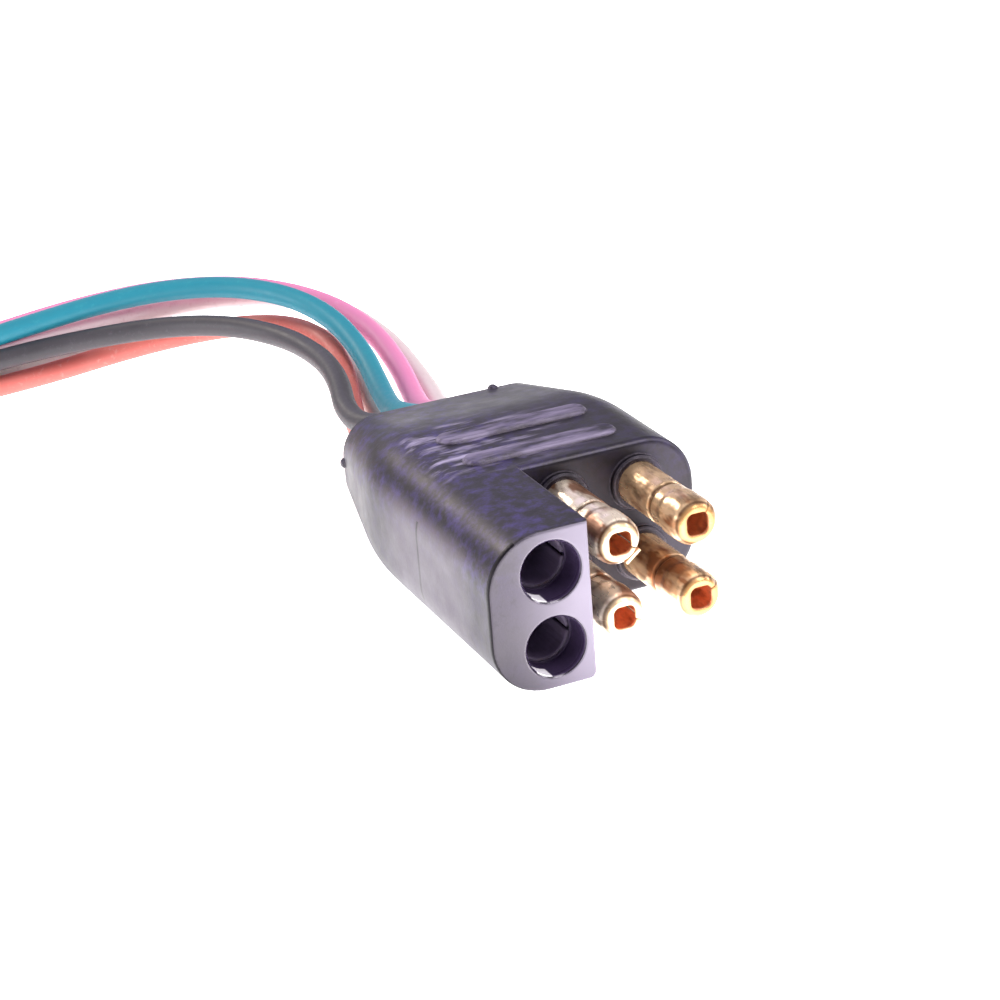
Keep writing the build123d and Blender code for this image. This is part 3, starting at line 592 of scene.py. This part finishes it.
STRANDS = strand_tree()
INSULATION = {}
for (row, column), (colour, fresh, worn, track, layer, way) in LEADS.items():
    place = f"{row}_{column}"
    turns = COIL_TURNS[track]
    INSULATION[place] = insulation(f"pvc_insulation_{colour}", fresh, worn)
    coil_entry = (COIL_ENTRY_X, COIL_Y + COIL_START_RADIUS - TRACK_PITCH * track, LAYER_Z[layer])
    route = [exit_place(row, column, LEAD_START_Y)] + [Vector(p) * MM for p in (*way, coil_entry)]
    route += [coil_place(track, layer, step / COIL_POINTS_PER_TURN)
              for step in range(round(turns * COIL_POINTS_PER_TURN) + 1)]
    lead = smooth_line(f"lead_{colour}", route, LEAD_DIAMETER / 2)
    lead.data.materials.append(INSULATION[place])
    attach(lead, "root")
    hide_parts(f"wire_{place}", "lead_coil")

    bare_turn = BARE_LENGTH / MM / (2 * math.pi * track_radius(track, turns))
    bare = stranded_end(f"strands_{colour}", [
        coil_place(track, layer, turns + bare_turn * step / BARE_STEPS) for step in range(BARE_STEPS + 1)
    ], STRANDS)
    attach(bare, "root")
    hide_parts(f"bare_end_{place}")


# ---------------------------------------------------------------- finishes of the solids

def finish_of(node):
    """The material of a solid, from its name."""
    if node == "housing":
        return PVC
    if node == "coil_tie":
        return NYLON
    if node.startswith("bullet_terminal"):
        return BRASS
    if node.startswith("socket_terminal"):
        return SHADED_SLEEVE_BRASS
    if node.startswith(("conductor", "bare_end")):
        return COPPER
    if node.startswith(("lead_end", "wire")):
        return INSULATION[node.removeprefix("lead_end_").removeprefix("wire_")]
    return None


for node in nodes:
    finish = finish_of(node)
    if finish:
        mesh = nodes[node].data
        mesh.materials.clear()
        mesh.materials.append(finish)


# ---------------------------------------------------------------- floor, lights and world

TABLE_GLOW = 1.6
TABLE_LAMPS = (((2 * MM, -62 * MM, 0), 44 * MM, 8),     # place, reach and strength
               ((-27 * MM, 2 * MM, 0), 42 * MM, 0.4),
               ((12 * MM, -22 * MM, 0), 26 * MM, 2.4))
LAMP_CORE = 8 * MM
FLOOR_HALF = 4.0
FLOOR_Z = -0.2 * MM


def lit_acrylic():
    """A white acrylic light table: it glows evenly, and throws its light up under what lies on it."""
    material, tree, shader, place = blank_material("white_lit_acrylic")
    cloud = add(tree, "ShaderNodeTexNoise", {"Vector": place, "Scale": per(60.0), "Detail": 2.0})
    # Three lamps stand under the table, and their glow falls off away from them.
    glow = TABLE_GLOW
    for lamp, reach, strength in TABLE_LAMPS:
        away = add(tree, "ShaderNodeVectorMath", {0: place, 1: lamp}, operation="DISTANCE")
        lit = add(tree, "ShaderNodeMapRange",
                  {"Value": away, "From Min": reach, "From Max": LAMP_CORE, "To Max": strength},
                  interpolation_type="SMOOTHSTEP")
        glow = add(tree, "ShaderNodeMath", {0: lit, 1: glow}, operation="ADD")
    feed(tree, shader, {"Base Color": layered(tree, "#fbfbfb", ((cloud, "#f4f4f4"),)),
                        "Roughness": 0.9, "Emission Color": "#ffffff", "Emission Strength": glow})
    return material


floor_mesh = bpy.data.meshes.new("floor")
floor_mesh.from_pydata([(x * FLOOR_HALF, y * FLOOR_HALF, FLOOR_Z)
                        for x, y in ((-1, -1), (1, -1), (1, 1), (-1, 1))], [], [(0, 1, 2, 3)])
floor_mesh.materials.append(lit_acrylic())
floor = bpy.data.objects.new("floor", floor_mesh)
scene.collection.objects.link(floor)

# Square soft lights: name, azimuth and elevation in degrees, distance and side in metres, watts and
# colour. Azimuth 0 is in front of the nose, and 90 is on the side of the outer bullets.
SOFTBOXES = (("key", 35, 55, 1.0, 0.4, 6, "#ffffff"),
             ("right", 80, 29, 1.0, 0.25, 3, "#ffffff"),
             ("top", -20, 80, 1.1, 0.5, 0.3, "#ffffff"),
             ("back", 170, 25, 1.2, 0.5, 0.6, "#d4ccff"),
             ("left_fill", -95, 15, 1.2, 0.6, 7, "#ffffff"),
             ("streak", 205, 34, 1.0, 0.2, 2.5, "#fff6ea"))

for name, azimuth, elevation, distance, side, power, shade in SOFTBOXES:
    light_data = bpy.data.lights.new(name, "AREA")
    light_data.shape = "SQUARE"
    light_data.size = side
    light_data.energy = power
    light_data.color = hue(shade)[:3]
    light = bpy.data.objects.new(name, light_data)
    a, e = math.radians(azimuth), math.radians(elevation)
    toward = Vector((math.sin(a) * math.cos(e), -math.cos(a) * math.cos(e), math.sin(e)))
    light.matrix_world = (Matrix.Translation(toward * distance)
                          @ toward.to_track_quat("Z", "Y").to_matrix().to_4x4())
    scene.collection.objects.link(light)

world = bpy.data.worlds.new("studio")
scene.world = world
world.use_nodes = True
feed(world.node_tree, world.node_tree.nodes["Background"], {"Color": "#f8f5fc", "Strength": 0.5})
